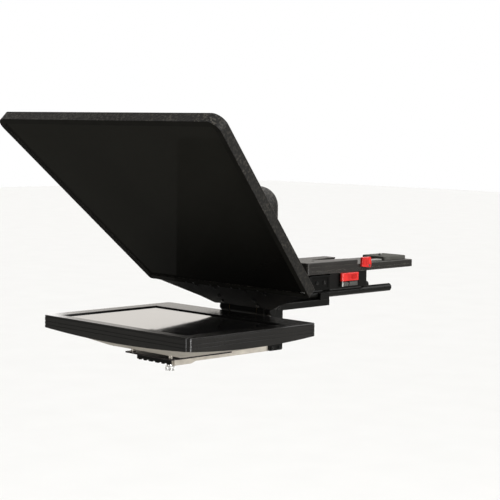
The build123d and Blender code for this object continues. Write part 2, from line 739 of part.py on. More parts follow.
with BuildPart() as slide_guides:
    for side in (-1, 1):
        with BuildSketch(along_x(side * (arm_half_width + side_gap), 0, 0)) as guide_side:
            with BuildLine():
                Polyline((-331, slide_bottom_z), (-331, guide_low_z), (-292, guide_low_z), (-273, -67),
                         (guide_rear_y, -67), (guide_rear_y, slide_bottom_z), close=True)
            make_face()
        extrude(guide_side.sketch, amount=side * 5)
        lip_x = sorted((side * (arm_half_width - 3), side * (arm_half_width + 1)))
        add_block(lip_x, (-331, -292), (guide_low_z, guide_lip_z))
save(slide_guides, "slide_guides")

with BuildPart() as thumb_screw:
    knob_top_z = arm_bottom_z - 12
    add_rod(up_at(0, screw_y, knob_top_z), 3, -58 - knob_top_z)
    add_rod(down_at(0, screw_y, knob_top_z), knob_radius, knob_height)
    chamfer(thumb_screw.edges().filter_by(GeomType.CIRCLE).group_by(SortBy.RADIUS)[-1], 0.8)
    with BuildSketch(down_at(0, screw_y, knob_top_z)) as knurl:
        with PolarLocations(knob_radius + 0.3, 24):
            Circle(0.8)
    extrude(knurl.sketch, amount=knob_height, mode=Mode.SUBTRACT)
    add_rod(up_at(0, screw_y, knob_top_z), 5, 2.5)
save(thumb_screw, "thumb_screw")

with BuildPart() as clamp_washer:
    add_rod(down_at(0, screw_y, guide_lip_z), 8, 2)
    add_rod(down_at(0, screw_y, guide_lip_z), 3, 2, Mode.SUBTRACT)
save(clamp_washer, "clamp_washer")

# ---------------------------------------------------------------- camera carriage on the rods
keel_half = 18.0
keel_low_z = 13.0
keel_span = (75.0, 165.0)
rail_stem_half = 12.0
rail_head_half = 18.0
rail_heights = (63.0, 66.0)
lever_pivot = (50.0, 94.0)
lever_span_z = (44.3, 59.7)
riser_screw_spots = ((22.0, 44.0), (42.0, 44.0))

with BuildPart() as riser_block:
    add_block((-riser_half_width, riser_half_width), (riser_split_y, riser_rear_y),
              (riser_bottom_z, riser_top_z))
    fillet(riser_block.edges().filter_by(Axis.Z).group_by(Axis.Y)[-1], 10)
    with BuildSketch(Plane.XY.offset(riser_bottom_z)):
        for side in (-1, 1):
            with Locations((side * riser_half_width, 147)):
                Rectangle(2, 1.4)
    extrude(amount=riser_top_z - riser_bottom_z, mode=Mode.SUBTRACT)
    add_block((-keel_half, keel_half), keel_span, (keel_low_z, riser_bottom_z))
    add_block((-rail_stem_half, rail_stem_half), keel_span, (riser_top_z, rail_heights[0]))
    add_block((-rail_head_half, rail_head_half), keel_span, rail_heights)
save(riser_block, "riser_block")

with BuildPart() as riser_front:
    add_block((-riser_half_width, riser_half_width), (riser_front_y, riser_split_y - side_gap),
              (riser_bottom_z, riser_top_z - 2))
    fillet(riser_front.edges().filter_by(Axis.Z).group_by(Axis.Y)[0], 9)
    chamfer(riser_front.faces().sort_by(Axis.Z)[-1].edges(), 1.2)
    for side in (-1, 1):
        recess_x = sorted((side * (riser_half_width - 1.2), side * (riser_half_width + 1)))
        add_block(recess_x, (18, 60), (34, 54), Mode.SUBTRACT)
        for y, z in riser_screw_spots:
            add_rod(along_x(side * riser_half_width, y + 8, z), 2, -side * 10, Mode.SUBTRACT)
save(riser_front, "riser_front")

with BuildPart() as riser_screws:
    for side in (-1, 1):
        for y, z in riser_screw_spots:
            seat = Plane(origin=(side * (riser_half_width - 1.2), y + 8, z), x_dir=(0, 1, 0),
                         z_dir=(side, 0, 0))
            add_screw(seat, 2, 8, 3.5, 2.0)
save(riser_screws, "riser_screws")

with BuildPart() as riser_runners:
    for side in (-1, 1):
        for span in ((15, 55), keel_span):
            runner_x = (side * rod_half_spacing - 5.5, side * rod_half_spacing + 5.5)
            add_block(runner_x, span, (rod_z + rod_radius - 2, riser_bottom_z))
        add_rod(along_y(side * rod_half_spacing, 0, rod_z), rod_radius + running_gap, riser_rear_y,
                Mode.SUBTRACT)
save(riser_runners, "riser_runners")

with BuildPart() as clamp_shoes:
    for side in (-1, 1):
        shoe_x = sorted((side * keel_half, side * (rod_half_spacing - rod_radius - side_gap)))
        add_block(shoe_x, (95, 140), (rod_z - 3.5, rod_z + 3.5))
save(clamp_shoes, "clamp_shoes")

with BuildPart() as riser_lever_base:
    add_block((riser_half_width, riser_half_width + 4.5), (92, 112), (34, 42))
    add_block((riser_half_width, riser_half_width + 4.5), (116, 139), (34, 42))
    add_block((riser_half_width, riser_half_width + 2), (92, 139), (36, 40))
    add_rod(up_at(lever_pivot[0], lever_pivot[1], 34), 4, 9)
    add_rod(up_at(lever_pivot[0], lever_pivot[1], 43), 2, lever_span_z[1] - 43 - 1)
save(riser_lever_base, "riser_lever_base")

with BuildPart() as riser_lever:
    add_block((46, 54), (90, 138), lever_span_z)
    fillet(riser_lever.edges().filter_by(Axis.Z).group_by(Axis.Y)[0], 3.9)
    fillet(riser_lever.edges().filter_by(Axis.Z).group_by(Axis.Y)[-1], 2.5)
    fillet(riser_lever.faces().sort_by(Axis.Z)[-1].edges(), 1.2)
    add_block((52.2, 55), (112, 131), (47.5, 56.5), Mode.SUBTRACT)
    add_rod(up_at(lever_pivot[0], lever_pivot[1], 40), 2 + running_gap, lever_span_z[1] - 40.8,
            Mode.SUBTRACT)
save(riser_lever, "riser_lever")

# ---------------------------------------------------------------- camera plate
groove_gap = 0.4
lock_pin_y = 262.0
lock_pin_radius = 4.0
lock_pivot = (172.0, 70.0)
shoe_screw_spots = ((-22.0, 40.0), (22.0, 40.0), (-22.0, 128.0), (22.0, 128.0))

with BuildPart() as camera_plate:
    add_block((-riser_half_width, riser_half_width), (plate_front_y, plate_rear_y),
              (plate_bottom_z, plate_top_z))
    fillet(camera_plate.edges().filter_by(Axis.Z), 5)
    chamfer(camera_plate.faces().sort_by(Axis.Z)[-1].edges(), 0.6)
    stem_half = rail_stem_half + groove_gap
    head_half = rail_head_half + groove_gap
    add_block((-stem_half, stem_half), (20, plate_rear_y), (plate_bottom_z, rail_heights[0]), Mode.SUBTRACT)
    add_block((-head_half, head_half), (20, plate_rear_y),
              (rail_heights[0] - groove_gap, rail_heights[1] + groove_gap), Mode.SUBTRACT)
    for side in (-1, 1):
        groove_x = sorted((side * (riser_half_width - 0.8), side * (riser_half_width + 1)))
        add_block(groove_x, (plate_front_y + 12, plate_rear_y - 12), (66, 67.4), Mode.SUBTRACT)
    add_rod(up_at(0, lock_pin_y, plate_bottom_z), lock_pin_radius + running_gap, 20, Mode.SUBTRACT)
    add_rod(along_x(riser_half_width, lock_pivot[0], lock_pivot[1]), 2.5, -8, Mode.SUBTRACT)
    for x, y in shoe_screw_spots:
        add_rod(up_at(x, y, plate_top_z), 1.6, -6, Mode.SUBTRACT)
save(camera_plate, "camera_plate")

shoe_top_z = 83.0
shoe_rear_y = 146.0
with BuildPart() as camera_shoe:
    add_block((-riser_half_width, riser_half_width), (plate_front_y, shoe_rear_y), (plate_top_z, shoe_top_z))
    fillet(camera_shoe.edges().filter_by(Axis.Z), 5)
    chamfer(camera_shoe.faces().sort_by(Axis.Z)[-1].edges(), 1.0)
    with BuildSketch(Plane.XY.offset(plate_top_z + 2.5)):
        with BuildLine():
            Polyline((-17, shoe_rear_y + 1), (17, shoe_rear_y + 1), (4, 62), (-4, 62), close=True)
        make_face()
    extrude(amount=10, mode=Mode.SUBTRACT)
    with BuildSketch(Plane.XY.offset(plate_top_z + 2.5)):
        with BuildLine():
            Polyline((-20, shoe_rear_y + 1), (20, shoe_rear_y + 1), (7, 60), (-7, 60), close=True)
        make_face()
    extrude(amount=2.5, mode=Mode.SUBTRACT)
    for x, y in shoe_screw_spots:
        add_rod(up_at(x, y, plate_top_z), 1.6, 20, Mode.SUBTRACT)
        add_rod(up_at(x, y, shoe_top_z - 2.5), 3.2, 5, Mode.SUBTRACT)
save(camera_shoe, "camera_shoe")

with BuildPart() as shoe_screws:
    for x, y in shoe_screw_spots:
        add_screw(up_at(x, y, shoe_top_z - 2.5), 1.6, 11, 3.0, 2.0)
save(shoe_screws, "shoe_screws")

pad_top_z = 82.0
with BuildPart() as rear_pad:
    add_block((-30, 30), (240, 306), (plate_top_z, pad_top_z))
    fillet(rear_pad.edges().filter_by(Axis.Z), 4)
    chamfer(rear_pad.faces().sort_by(Axis.Z)[-1].edges(), 1.2)
    add_rod(up_at(0, lock_pin_y, plate_top_z), lock_pin_radius + running_gap, 20, Mode.SUBTRACT)
save(rear_pad, "rear_pad")

with BuildPart() as lock_pin:
    add_rod(up_at(0, lock_pin_y, 70), lock_pin_radius, pad_top_z + 4 - 70)
    chamfer(lock_pin.edges().group_by(Axis.Z)[-1], 1)
save(lock_pin, "lock_pin")

with BuildPart() as plate_lock_base:
    add_block((30, 44), (182, 216), (plate_top_z, plate_top_z + 5.5))
    chamfer(plate_lock_base.faces().sort_by(Axis.Z)[-1].edges(), 1)
    add_rod(along_x(riser_half_width - 8, lock_pivot[0], lock_pivot[1]), 2.5, 14)
save(plate_lock_base, "plate_lock_base")

with BuildPart() as plate_lever:
    with BuildSketch(along_x(riser_half_width + 0.4, 0, 0)) as tab:
        with BuildLine():
            Polyline((150, 69), (176, 66), (178, 74), (176, 87), (151, 87), close=True)
        make_face()
        fillet(tab.vertices(), 2.5)
    extrude(amount=5.2)
    fillet(plate_lever.faces().sort_by(Axis.X)[-1].edges(), 0.8)
    add_rod(along_x(riser_half_width, lock_pivot[0], lock_pivot[1]), 2.5 + running_gap, 10, Mode.SUBTRACT)
save(plate_lever, "plate_lever")
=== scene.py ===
"""Looks for the studio teleprompter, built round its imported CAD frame.

Metres, in the frame's own axes: X is across, -Y is towards the presenter, +Z is up.
"""

import json
from math import cos, pi, radians, sin, sqrt

import bmesh
import bpy
from mathutils import Matrix, Vector
from mathutils.geometry import convex_hull_2d


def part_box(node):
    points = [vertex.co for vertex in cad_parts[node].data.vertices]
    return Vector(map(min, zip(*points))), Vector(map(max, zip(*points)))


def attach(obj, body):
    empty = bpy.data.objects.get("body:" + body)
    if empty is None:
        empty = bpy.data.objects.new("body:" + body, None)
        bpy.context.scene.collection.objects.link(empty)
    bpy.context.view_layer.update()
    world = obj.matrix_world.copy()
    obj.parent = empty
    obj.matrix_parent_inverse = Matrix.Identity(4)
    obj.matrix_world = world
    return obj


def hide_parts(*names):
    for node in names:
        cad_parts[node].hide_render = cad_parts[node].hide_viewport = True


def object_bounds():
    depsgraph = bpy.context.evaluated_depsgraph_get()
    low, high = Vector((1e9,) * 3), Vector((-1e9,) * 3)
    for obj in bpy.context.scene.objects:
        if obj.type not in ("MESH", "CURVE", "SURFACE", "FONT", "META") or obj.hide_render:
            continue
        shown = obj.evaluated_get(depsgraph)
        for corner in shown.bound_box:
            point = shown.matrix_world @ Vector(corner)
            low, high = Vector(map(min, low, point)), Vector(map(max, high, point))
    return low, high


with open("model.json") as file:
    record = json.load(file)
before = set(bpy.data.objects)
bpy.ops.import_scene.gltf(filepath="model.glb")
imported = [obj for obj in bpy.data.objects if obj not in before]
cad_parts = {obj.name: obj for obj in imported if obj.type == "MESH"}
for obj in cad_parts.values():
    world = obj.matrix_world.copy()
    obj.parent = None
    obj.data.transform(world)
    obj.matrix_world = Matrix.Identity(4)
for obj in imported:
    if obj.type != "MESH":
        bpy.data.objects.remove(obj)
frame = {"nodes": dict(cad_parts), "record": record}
cad_low, cad_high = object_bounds()

ROOT_HALF = sqrt(0.5)       # sine and cosine of the hood's 45 degree slant at rest


# ---------------------------------------------------------------- camera
CAMERA_PLACE = Vector((1.9634, -2.0166, 0.3448))
CAMERA_AZIMUTH = radians(45.76)
CAMERA_ELEVATION = radians(4.88)
CAMERA_ROLL = radians(0.71)
LENS_MM = 107.54
SENSOR_MM = 36.0
FARTHEST_SEEN = 50.0


def make_camera():
    """The camera at the photograph's viewing angle."""
    flat = cos(CAMERA_ELEVATION)
    back = Vector((sin(CAMERA_AZIMUTH) * flat, -cos(CAMERA_AZIMUTH) * flat,
                   sin(CAMERA_ELEVATION)))
    level_right = (-back).cross(Vector((0, 0, 1))).normalized()
    level_up = back.cross(level_right)
    right = cos(CAMERA_ROLL) * level_right + sin(CAMERA_ROLL) * level_up
    up = back.cross(right)
    data = bpy.data.cameras.new("studio_camera")
    data.lens = LENS_MM
    data.sensor_width = SENSOR_MM
    data.clip_end = FARTHEST_SEEN
    camera = bpy.data.objects.new("studio_camera", data)
    turned = Matrix((right, up, back)).transposed().to_4x4()
    camera.matrix_world = Matrix.Translation(CAMERA_PLACE) @ turned
    bpy.context.scene.collection.objects.link(camera)
    bpy.context.scene.camera = camera


make_camera()


# ---------------------------------------------------------------- materials
NOISE_MIDDLE = (0.3, 0.7)           # where most of a noise pattern's values lie
EDGE_DOTS = (0.985, 0.80)           # bevelled normal against true normal: off an edge, on an edge
OPEN_SHARES = (0.45, 0.95)          # ambient occlusion: deep in a groove, out on the flat
SIDEWARD_SQUARES = (0.35, 0.85)     # squared sideways part of a normal: elsewhere, on the sides
BEVEL_SAMPLES = 4
OCCLUSION_SAMPLES = 8
TINY_BUMP = 0.0001


def darker(color, share):
    return tuple(channel * share for channel in color)


class Look:
    """A node material under construction, with its pattern fixed to the object's own frame."""

    def __init__(self, name, color, roughness, metallic=0.0, **sockets):
        self.mat = bpy.data.materials.new(name)
        self.mat.use_nodes = True
        self.tree = self.mat.node_tree
        self.shader = self.tree.nodes["Principled BSDF"]
        self.shader.inputs["Base Color"].default_value = (*color, 1)
        self.shader.inputs["Roughness"].default_value = roughness
        self.shader.inputs["Metallic"].default_value = metallic
        for socket, value in sockets.items():
            self.shader.inputs[socket.replace("_", " ")].default_value = value
        self.place = self.tree.nodes.new("ShaderNodeTexCoord").outputs["Object"]
        self.height = None

    def link(self, source, target):
        self.tree.links.new(source, target)

    def stretched(self, stretch):
        mapping = self.tree.nodes.new("ShaderNodeMapping")
        mapping.inputs["Scale"].default_value = stretch
        self.link(self.place, mapping.inputs["Vector"])
        return mapping.outputs["Vector"]

    def noise(self, scale, detail, stretch=None):
        """A noise pattern; scale is in grains to the metre."""
        node = self.tree.nodes.new("ShaderNodeTexNoise")
        node.inputs["Scale"].default_value = scale
        node.inputs["Detail"].default_value = detail
        self.link(self.stretched(stretch) if stretch else self.place, node.inputs["Vector"])
        return node.outputs["Fac"]

    def cell_edges(self, scale):
        """The distance to the nearest edge in a cell pattern; scale is in cells to the metre."""
        node = self.tree.nodes.new("ShaderNodeTexVoronoi")
        node.feature = "DISTANCE_TO_EDGE"
        node.inputs["Scale"].default_value = scale
        self.link(self.place, node.inputs["Vector"])
        return node.outputs["Distance"]

    def remap(self, value, low, high, to_low=0.0, to_high=1.0):
        """A value from between low and high, carried over to between two others, and clamped."""
        node = self.tree.nodes.new("ShaderNodeMapRange")
        for socket, number in zip(("From Min", "From Max", "To Min", "To Max"),
                                  (low, high, to_low, to_high)):
            node.inputs[socket].default_value = number
        self.link(value, node.inputs["Value"])
        return node.outputs["Result"]

    def mix(self, factor, first, second):
        """A colour mix; first and second are colours or sockets."""
        node = self.tree.nodes.new("ShaderNodeMix")
        node.data_type = "RGBA"
        self.link(factor, node.inputs["Factor"])
        for socket, value in ((node.inputs["A"], first), (node.inputs["B"], second)):
            target = [s for s in node.inputs if s.name == socket.name and s.type == "RGBA"][0]
            if isinstance(value, tuple):
                target.default_value = (*value, 1)
            else:
                self.link(value, target)
        return [s for s in node.outputs if s.type == "RGBA"][0]

    def multiply(self, first, second):
        node = self.tree.nodes.new("ShaderNodeMath")
        node.operation = "MULTIPLY"
        self.link(first, node.inputs[0])
        if isinstance(second, float):
            node.inputs[1].default_value = second
        else:
            self.link(second, node.inputs[1])
        return node.outputs["Value"]

    def edges(self, radius):
        """How near a sharp edge is: 0 on the flat, up to 1 on an edge."""
        bevel = self.tree.nodes.new("ShaderNodeBevel")
        bevel.samples = BEVEL_SAMPLES
        bevel.inputs["Radius"].default_value = radius
        geometry = self.tree.nodes.new("ShaderNodeNewGeometry")
        dot = self.tree.nodes.new("ShaderNodeVectorMath")
        dot.operation = "DOT_PRODUCT"
        self.link(bevel.outputs["Normal"], dot.inputs[0])
        self.link(geometry.outputs["Normal"], dot.inputs[1])
        return self.remap(dot.outputs["Value"], *EDGE_DOTS)

    def openness(self, distance):
        """How open a place is to its surroundings: 1 on the flat, near 0 deep in a groove."""
        node = self.tree.nodes.new("ShaderNodeAmbientOcclusion")
        node.samples = OCCLUSION_SAMPLES
        node.inputs["Distance"].default_value = distance
        return self.remap(node.outputs["AO"], *OPEN_SHARES)

    def along(self, direction):
        """How far a point lies along a direction, from the object's origin."""
        node = self.tree.nodes.new("ShaderNodeVectorMath")
        node.operation = "DOT_PRODUCT"
        node.inputs[1].default_value = direction
        self.link(self.place, node.inputs[0])
        return node.outputs["Value"]

    def sidewards(self, elsewhere, on_sides):
        """One value on faces that look across the object, and another on all the others."""
        geometry = self.tree.nodes.new("ShaderNodeNewGeometry")
        axes = self.tree.nodes.new("ShaderNodeSeparateXYZ")
        self.link(geometry.outputs["Normal"], axes.inputs["Vector"])
        square = self.multiply(axes.outputs["X"], axes.outputs["X"])
        return self.remap(square, *SIDEWARD_SQUARES, elsewhere, on_sides)

    def paint(self, color):
        self.link(color, self.shader.inputs["Base Color"])

    def dull(self, value, low, high):
        """Roughness that wanders between two values."""
        self.link(self.remap(value, *NOISE_MIDDLE, low, high), self.shader.inputs["Roughness"])

    def bump(self, height, strength, distance):
        """Fine relief in the shading, laid over any relief that is there already."""
        node = self.tree.nodes.new("ShaderNodeBump")
        node.inputs["Strength"].default_value = strength
        node.inputs["Distance"].default_value = distance
        self.link(height, node.inputs["Height"])
        if self.height:
            self.link(self.height, node.inputs["Normal"])
        self.height = node.outputs["Normal"]
        self.link(self.height, self.shader.inputs["Normal"])


def crinkle(name, dark, light, grain):
    """Textured black coat: speckles of painted glints, in patches, fewer on faces to the sides."""
    glint_patches_to_metre = 16
    glint_grain, dust_grain = grain * 0.95, grain * 3.5
    wrinkle_depth, dust_depth = 0.0008, 0.0002
    look = Look(name, dark, 0.6, Specular_IOR_Level=0.25)
    wrinkles = look.noise(grain, 4)
    glint_speckle = look.remap(look.noise(glint_grain, 2), 0.50, 0.62)
    glint_patches = look.remap(look.noise(glint_patches_to_metre, 3), 0.40, 0.62, 0.35, 1.0)
    # painted light: the light-coloured speckles are painted glints, and having fewer of them on
    # faces to the sides makes the top and front lighter
    painted_glints = look.multiply(look.multiply(glint_speckle, glint_patches),
                             look.sidewards(elsewhere=0.9, on_sides=0.4))
    look.paint(look.mix(painted_glints, dark, light))
    look.dull(wrinkles, 0.45, 0.68)
    look.bump(wrinkles, 0.7, wrinkle_depth)
    look.bump(look.noise(dust_grain, 2), 0.3, dust_depth)
    return look.mat


def anodised(name, color, wear_and_highlight, roughness, stretch=(1, 1, 1), metallic=0.35, gloss=0.4,
             groove_shade_reach=0.0):
    """Anodised aluminium: fine grain, slight colour drift, edges lighter by wear and a painted
    highlight, painted shade in grooves if asked.
    """
    drifts_to_metre, edge_patches_to_metre, grains_to_metre = 18, 160, 1600
    edge_band_width = 0.0005
    look = Look(name, color, roughness, metallic, Specular_IOR_Level=gloss)
    drift = look.remap(look.noise(drifts_to_metre, 3), *NOISE_MIDDLE)
    # lighter edges in patches: partly wear, partly a painted highlight along the edges
    edge_patches = look.remap(look.noise(edge_patches_to_metre, 3), 0.42, 0.62, 0.15, 1.0)
    lighter_edges = look.multiply(look.edges(edge_band_width), edge_patches)
    coat = look.mix(lighter_edges, look.mix(drift, darker(color, 0.72), color), wear_and_highlight)
    # painted shade: the colour darkens towards black deep in grooves
    if groove_shade_reach:
        coat = look.mix(look.openness(groove_shade_reach), (0.0, 0.0, 0.0), coat)
    look.paint(coat)
    grain = look.noise(grains_to_metre, 3, stretch)
    look.dull(grain, roughness - 0.07, roughness + 0.1)
    look.bump(grain, 0.12, TINY_BUMP)
    return look.mat


def bare_metal(name, color, roughness, stretch=(1, 1, 1)):
    """Plated or bare metal, finely brushed, with faint stains."""
    strokes_to_metre, stains_to_metre = 900, 45
    look = Look(name, color, roughness, metallic=1.0)
    brushed = look.noise(strokes_to_metre, 4, stretch)
    stain = look.remap(look.noise(stains_to_metre, 3), 0.35, 0.7)
    look.paint(look.mix(stain, color, darker(color, 0.78)))
    look.dull(brushed, roughness - 0.08, roughness + 0.14)
    look.bump(brushed, 0.18, TINY_BUMP)
    return look.mat


def moulded(name, color, roughness, gloss=0.35):
    """Moulded plastic with a fine spark texture and faint scuffs."""
    scuffs_to_metre, sheens_to_metre, sparks_to_metre = 60, 30, 1400
    spark_depth = 0.00015
    look = Look(name, color, roughness, Specular_IOR_Level=gloss)
    scuffs = look.remap(look.noise(scuffs_to_metre, 5, (1, 6, 1)), 0.6, 0.75)
    lighter = tuple(min(1.0, channel * 1.5 + 0.004) for channel in color)
    look.paint(look.mix(look.multiply(scuffs, 0.6), color, lighter))
    look.dull(look.noise(sheens_to_metre, 3), roughness - 0.06, roughness + 0.1)
    look.bump(look.noise(sparks_to_metre, 2), 0.25, spark_depth)
    return look.mat


def rubber(name, color):
    """Matt rubber with a little bloom and dust."""
    dusts_to_metre, blooms_to_metre, grains_to_metre = 40, 300, 1100
    grain_depth = 0.0002
    look = Look(name, color, 0.85, Specular_IOR_Level=0.25)
    dust = look.remap(look.noise(dusts_to_metre, 4), 0.45, 0.75)
    dusty = tuple(channel * 0.9 + 0.055 for channel in color)
    look.paint(look.mix(look.multiply(dust, 0.5), color, dusty))
    look.dull(look.noise(blooms_to_metre, 3), 0.75, 0.95)
    look.bump(look.noise(grains_to_metre, 3), 0.3, grain_depth)
    return look.mat


def splitter_glass():
    """Beam splitter glass over the dark hood: nearly black, a painted reflection higher up, a weak
    mirror.
    """
    reflection_blotches_to_metre, smears_to_metre = 5, 9
    reflection_rises_along, reflection_starts, reflection_full = (-0.35, 0, 1), 0.03, 0.19
    clear, reflecting = (0.0062, 0.0060, 0.0053), (0.0235, 0.0229, 0.0198)
    look = Look("splitter_glass", (0.010, 0.0097, 0.0085), 0.03, IOR=1.045, Alpha=0.985)
    # painted reflection: lighter towards the top and the far side, in soft blotches
    tall = look.remap(look.along(reflection_rises_along), reflection_starts, reflection_full)
    reflection_blotches = look.remap(look.noise(reflection_blotches_to_metre, 3), 0.3, 0.75, 0.8, 1.0)
    look.paint(look.mix(look.multiply(tall, reflection_blotches), clear, reflecting))
    look.dull(look.noise(smears_to_metre, 4), 0.02, 0.07)
    return look.mat


def border_tape():
    """Gloss black tape, a close match for the glass beside it."""
    drifts_to_metre, smears_to_metre, grains_to_metre = 30, 120, 700
    look = Look("border_tape", (0.008, 0.0078, 0.0068), 0.1, IOR=1.05)
    look.paint(look.mix(look.noise(drifts_to_metre, 3),
                        (0.0120, 0.0117, 0.0103), (0.0190, 0.0184, 0.0162)))
    look.dull(look.noise(smears_to_metre, 3), 0.07, 0.14)
    look.bump(look.noise(grains_to_metre, 2), 0.04, TINY_BUMP)
    return look.mat


def screen_gloss():
    """The screen's cover sheet: black and glossy, with a trace of fingerprints."""
    prints_to_metre, smears_to_metre = 22, 26
    look = Look("screen_gloss", (0.008, 0.008, 0.009), 0.05, IOR=1.6, Coat_Weight=1.0,
                Coat_Roughness=0.05, Coat_IOR=1.6)
    prints = look.remap(look.noise(prints_to_metre, 5, (1, 2.2, 1)), 0.55, 0.8)
    look.paint(look.mix(prints, (0.007, 0.007, 0.008), (0.016, 0.016, 0.017)))
    look.dull(look.noise(smears_to_metre, 4), 0.03, 0.09)
    return look.mat


def red_plastic():
    """Glossy red moulding, lighter along its edges from wear."""
    drifts_to_metre, smears_to_metre, grains_to_metre = 70, 120, 1500
    edge_band_width = 0.0006
    deep_red, bright_red = (0.50, 0.008, 0.008), (0.72, 0.022, 0.016)
    rubbed_red = (0.85, 0.16, 0.12)
    look = Look("red_plastic", (0.62, 0.015, 0.012), 0.3, Coat_Weight=0.3, Coat_Roughness=0.2)
    drift = look.remap(look.noise(drifts_to_metre, 3), *NOISE_MIDDLE)
    lighter_edges = look.multiply(look.edges(edge_band_width), 0.5)
    look.paint(look.mix(lighter_edges, look.mix(drift, deep_red, bright_red), rubbed_red))
    look.dull(look.noise(smears_to_metre, 3), 0.24, 0.4)
    look.bump(look.noise(grains_to_metre, 2), 0.12, TINY_BUMP)
    return look.mat


def circuit_board():
    """Green solder mask over faint copper tracks."""
    meshes_to_metre = 260
    look = Look("circuit_board", (0.02, 0.12, 0.05), 0.35)
    tracks = look.remap(look.cell_edges(meshes_to_metre), 0.02, 0.06)
    look.paint(look.mix(tracks, (0.05, 0.22, 0.09), (0.015, 0.10, 0.04)))
    look.bump(tracks, 0.2, TINY_BUMP)
    return look.mat


looks = {       # by material slot
    # the crinkle coats' second colour is the colour of their painted glints
    "hood_textured": crinkle("crinkle_black", (0.0070, 0.0065, 0.0055), (0.092, 0.083, 0.068),
                             grain=260.0),
    "chin_black": crinkle("powder_black", (0.0045, 0.0044, 0.0040), (0.012, 0.012, 0.011),
                          grain=900.0),
    "retainer_black": moulded("retainer_black", (0.012, 0.012, 0.012), 0.55),
    "black_anodised": anodised("black_anodised", (0.0055, 0.0054, 0.0048), (0.13, 0.128, 0.118),
                               0.42, metallic=0.0, gloss=0.14),
    "rod_black": anodised("rod_black", (0.007, 0.0072, 0.0062), (0.2, 0.2, 0.19), 0.30,
                          (1, 0.06, 1), metallic=0.0, gloss=0.25),
    "rod_cap": moulded("rod_cap_black", (0.018, 0.018, 0.019), 0.5),
    "plated_steel": bare_metal("plated_steel", (0.24, 0.24, 0.23), 0.32),
    "screw_black": anodised("screw_black", (0.030, 0.030, 0.030), (0.34, 0.33, 0.31), 0.34,
                            metallic=0.8),
    "bush_brass": bare_metal("bush_brass", (0.62, 0.44, 0.18), 0.32),
    "knurled_steel": bare_metal("knurled_steel", (0.74, 0.74, 0.73), 0.24),
    "beam_glass": splitter_glass(),
    "gasket_rubber": rubber("gasket_rubber", (0.014, 0.014, 0.014)),
    # the monitor frame gets painted shade in its grooves
    "monitor_aluminium": anodised("monitor_black", (0.016, 0.0152, 0.0142), (0.05, 0.048, 0.045),
                                  0.2, metallic=0.0, groove_shade_reach=0.004),
    "screen_gloss": screen_gloss(),
    "panel_grey": moulded("panel_grey", (0.25, 0.25, 0.25), 0.5),
    "board_green": circuit_board(),
    "cover_light": bare_metal("cover_light", (0.72, 0.67, 0.59), 0.45, (1, 0.05, 1)),
    # slide plate: grey anodising whose purple tint is painted warm bounce light; its pale edge
    # colour is a painted highlight as well as wear
    "slide_purple": anodised("slide_purple", (0.016, 0.011, 0.013), (0.62, 0.58, 0.54), 0.36,
                             (0.08, 1, 1)),
    "pad_grey": rubber("pad_grey", (0.070, 0.069, 0.060)),
    "io_black": moulded("io_black", (0.014, 0.014, 0.015), 0.42),
    "socket_metal": bare_metal("socket_metal", (0.68, 0.67, 0.64), 0.25),
    "riser_front_black": moulded("riser_front_black", (0.0040, 0.0040, 0.0036), 0.5, gloss=0.08),
    "runner_plastic": moulded("runner_plastic", (0.03, 0.03, 0.03), 0.5),
    "lever_red": red_plastic(),
    # camera plate: its olive edge colour is a painted highlight of lit edges, as well as wear
    "plate_grey": anodised("plate_grey", (0.030, 0.0275, 0.0250), (0.42, 0.41, 0.33), 0.4,
                           (1, 0.08, 1)),
}


# ---------------------------------------------------------------- mesh helpers
SAME_POINT = 2e-6                   # vertices nearer than this are one
SAME_PLANE = radians(0.5)           # faces that differ by less than this are one
CORNER = radians(35)                # edges sharper than this are rounded
ROUNDING_PROFILE = 0.6
ROUNDED_EDGE, BOX_EDGE = 2, 3       # facets across a rounded edge of a CAD node, of a box


def piece_from(grid, name, body, slot, sharp=30.0, look=None):
    """Turn a bmesh into a piece that rides on a body, with a slot's look or a look of its own."""
    bmesh.ops.recalc_face_normals(grid, faces=grid.faces)
    mesh = bpy.data.meshes.new(name)
    grid.to_mesh(mesh)
    grid.free()
    mesh.shade_smooth()
    mesh.set_sharp_from_angle(angle=radians(sharp))
    mesh.materials.append(look or looks[slot])
    piece = bpy.data.objects.new(name, mesh)
    bpy.context.scene.collection.objects.link(piece)
    flat = piece.modifiers.new("flat_shading_of_flats", "WEIGHTED_NORMAL")
    flat.keep_sharp = True
    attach(piece, body)
    return piece


def rounded(grid, edges, width, facets):
    bmesh.ops.bevel(grid, geom=edges, offset=width, segments=facets, profile=ROUNDING_PROFILE,
                    affect="EDGES", clamp_overlap=True)


def refined(node, width):
    """Stand a copy of a CAD node with rounded edges in for the node."""
    grid = bmesh.new()
    grid.from_mesh(frame["nodes"][node].data)
    bmesh.ops.remove_doubles(grid, verts=grid.verts, dist=SAME_POINT)
    bmesh.ops.dissolve_limit(grid, angle_limit=SAME_PLANE, verts=grid.verts, edges=grid.edges)
    sharp = [edge for edge in grid.edges
             if len(edge.link_faces) == 2 and edge.calc_face_angle() > CORNER]
    rounded(grid, sharp, width, ROUNDED_EDGE)
    piece = piece_from(grid, f"{node}_body", body_of[node], slot_of[node])
    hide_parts(node)
    return piece


body_of = {node: body
           for body, nodes in frame["record"]["behaviour"]["bodies"].items() for node in nodes}
slot_of = {part["node"]: part["material_slot"] for part in frame["record"]["subparts"]}
for name, node in frame["nodes"].items():
    node.data.materials.clear()
    node.data.materials.append(looks[slot_of[name]])


